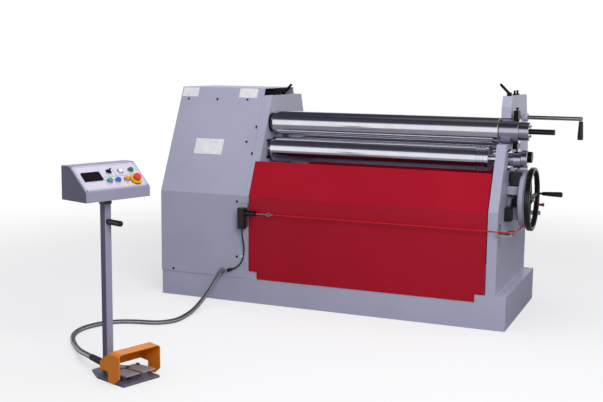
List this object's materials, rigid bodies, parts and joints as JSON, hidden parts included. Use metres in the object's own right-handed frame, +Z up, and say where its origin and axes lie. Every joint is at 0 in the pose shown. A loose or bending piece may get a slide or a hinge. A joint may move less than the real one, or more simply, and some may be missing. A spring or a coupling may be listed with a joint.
{
  "type": "three-roll plate rolling machine",
  "caption": "Powered plate bending rolls on a welded base: three steel rolls between end frames, drive cabinet, folded guards, handwheel, trip rope and a stand with console and foot switch.",
  "frame": {"origin": "centre of the machine base's underside, on the floor", "axes": "+X along the rolls towards the open end frame, +Y to the back of the machine, +Z up"},
  "size_m": [2.252, 2.3411, 1.2396],
  "materials": {
    "machine_paint": "satin enamel, pale lavender grey",
    "guard_red": "satin enamel, deep red",
    "roll_steel": "ground and polished",
    "bearing_steel": "turned, oiled",
    "dark_steel": "blackened",
    "casting_paint": "painted casting",
    "black_plastic": "moulded",
    "rope_red": "plastic covered wire rope",
    "zinc_steel": "zinc plated",
    "hose_steel": "wound strip hose",
    "cable_rubber": "smooth",
    "hood_orange": "gloss enamel on a casting",
    "pedal_steel": "dark grey enamel",
    "treadle_steel": "brushed",
    "console_paint": "satin enamel",
    "panel_sheet": "fine brushed, pale",
    "display_black": "smoked window",
    "bezel_chrome": "polished",
    "stop_red": "moulded",
    "button_green": "moulded",
    "button_teal": "moulded",
    "button_blue": "moulded",
    "button_orange": "moulded"
  },
  "bodies": {
    "root": {"base_frame": "machine_paint", "left_end_frame": "machine_paint", "right_end_frame": "machine_paint", "drive_cabinet": "machine_paint", "front_guard": "guard_red", "rear_guard": "guard_red", "socket_ring": "dark_steel", "gear_bracket": "casting_paint", "position_box": "black_plastic", "lock_knobs": "dark_steel", "rope_switch": "black_plastic", "trip_rope": "rope_red", "rope_fittings": "zinc_steel", "cabinet_gland": "zinc_steel", "control_hose": "hose_steel", "switch_cable": "cable_rubber", "cable_fittings": "black_plastic", "pedal_plate": "pedal_steel", "pedal_hood": "hood_orange", "treadle_bearing": "pedal_steel", "pedal_gland": "cable_rubber", "stand_pole": "console_paint", "pole_collar": "black_plastic", "stand_grip": "black_plastic", "console_body": "console_paint", "console_panel": "panel_sheet", "display": "display_black", "button_bezels": "bezel_chrome"},
    "swing_bearing": {"top_bearing_housing": "bearing_steel", "top_bearing_cap": "bearing_steel", "pull_rod": "black_plastic", "bearing_yoke": "dark_steel"},
    "top_roll_body": {"top_roll": "roll_steel"},
    "pinch_carrier": {"pinch_blocks": "bearing_steel", "pinch_end_bearing": "bearing_steel", "pinch_knob": "dark_steel"},
    "pinch_roll_body": {"pinch_roll": "roll_steel"},
    "rear_carrier": {"rear_blocks": "bearing_steel"},
    "rear_roll_body": {"rear_roll": "roll_steel"},
    "wheel": {"handwheel": "dark_steel", "handwheel_grip": "black_plastic"},
    "crank": {"crank_bar": "zinc_steel", "crank_grip": "black_plastic"},
    "lever_left": {"clamp_lever_left": "dark_steel"},
    "lever_right": {"clamp_lever_right": "dark_steel"},
    "treadle_left_body": {"treadle_left": "treadle_steel"},
    "treadle_right_body": {"treadle_right": "treadle_steel"},
    "stop_button": {"estop_head": "stop_red"},
    "selector": {"selector_knob": "black_plastic"},
    "green_button": {"button_green": "button_green"},
    "teal_button": {"button_teal": "button_teal"},
    "blue_button": {"button_blue": "button_blue"},
    "orange_button": {"button_orange": "button_orange"}
  },
  "joints": [
    {"name": "top_roll_swing", "type": "hinge", "parent": "root", "child": "swing_bearing", "pos_m": [-0.44, -0.145, 0.998], "axis": [0, 0, -1], "range_deg": [0, 15]},
    {"name": "top_roll_spin", "type": "hinge", "parent": "swing_bearing", "child": "top_roll_body", "pos_m": [-0.44, -0.145, 0.998], "axis": [1, 0, 0], "continuous": true},
    {"name": "pinch_lift", "type": "slide", "parent": "root", "child": "pinch_carrier", "axis": [0, 0, 1], "range_m": [-0.01, 0.0045]},
    {"name": "pinch_roll_spin", "type": "hinge", "parent": "pinch_carrier", "child": "pinch_roll_body", "pos_m": [0, -0.175, 0.853], "axis": [1, 0, 0], "continuous": true},
    {"name": "rear_lift", "type": "slide", "parent": "root", "child": "rear_carrier", "axis": [0, -0.4226, 0.9063], "range_m": [-0.06, 0.14]},
    {"name": "rear_roll_spin", "type": "hinge", "parent": "rear_carrier", "child": "rear_roll_body", "pos_m": [0, 0.07, 0.85], "axis": [1, 0, 0], "continuous": true},
    {"name": "handwheel_turn", "type": "hinge", "parent": "root", "child": "wheel", "pos_m": [1.055, -0.11, 0.645], "axis": [1, 0, 0], "range_deg": [-1090, 2530]},
    {"name": "crank_turn", "type": "hinge", "parent": "root", "child": "crank", "pos_m": [1, 0.245, 1.05], "axis": [1, 0, 0], "range_deg": [-100, 100]},
    {"name": "clamp_left_turn", "type": "hinge", "parent": "root", "child": "lever_left", "pos_m": [-0.44, 0.07, 1.15], "axis": [0, 0, -1], "range_deg": [0, 90]},
    {"name": "clamp_right_turn", "type": "hinge", "parent": "root", "child": "lever_right", "pos_m": [0.915, -0.102, 1.176], "axis": [0, 0, 1], "range_deg": [0, 90]},
    {"name": "treadle_left_press", "type": "hinge", "parent": "root", "child": "treadle_left_body", "pos_m": [-0.37025, -1.828, 0.034], "axis": [0.3272, 0.9449, 0], "range_deg": [0, 8], "stiffness_Nm_per_rad": 8, "springref_deg": -6.88},
    {"name": "treadle_right_press", "type": "hinge", "parent": "root", "child": "treadle_right_body", "pos_m": [-0.3421, -1.74674, 0.034], "axis": [0.3272, 0.9449, 0], "range_deg": [0, 8], "stiffness_Nm_per_rad": 8, "springref_deg": -6.88},
    {"name": "stop_press", "type": "slide", "parent": "root", "child": "stop_button", "axis": [-0.6262, 0.2169, -0.7489], "range_m": [0, 0.004]},
    {"name": "selector_turn", "type": "hinge", "parent": "root", "child": "selector", "pos_m": [-0.43493, -1.7601, 0.87527], "axis": [0.6262, -0.2169, 0.7489], "range_deg": [-30, 60]},
    {"name": "green_button_press", "type": "slide", "parent": "root", "child": "green_button", "axis": [-0.6262, 0.2169, -0.7489], "range_m": [0, 0.0025], "stiffness_N_per_m": 300, "springref_m": -0.004},
    {"name": "teal_button_press", "type": "slide", "parent": "root", "child": "teal_button", "axis": [-0.6262, 0.2169, -0.7489], "range_m": [0, 0.0025], "stiffness_N_per_m": 300, "springref_m": -0.004},
    {"name": "blue_button_press", "type": "slide", "parent": "root", "child": "blue_button", "axis": [-0.6262, 0.2169, -0.7489], "range_m": [0, 0.0025], "stiffness_N_per_m": 300, "springref_m": -0.004},
    {"name": "orange_button_press", "type": "slide", "parent": "root", "child": "orange_button", "axis": [-0.6262, 0.2169, -0.7489], "range_m": [0, 0.0025], "stiffness_N_per_m": 300, "springref_m": -0.004}
  ],
  "couplings": [
    {"joint": "top_roll_spin", "follows": "pinch_roll_spin", "ratio": -1},
    {"joint": "handwheel_turn", "follows": "rear_lift", "rad_per_m": 314.16}
  ]
}
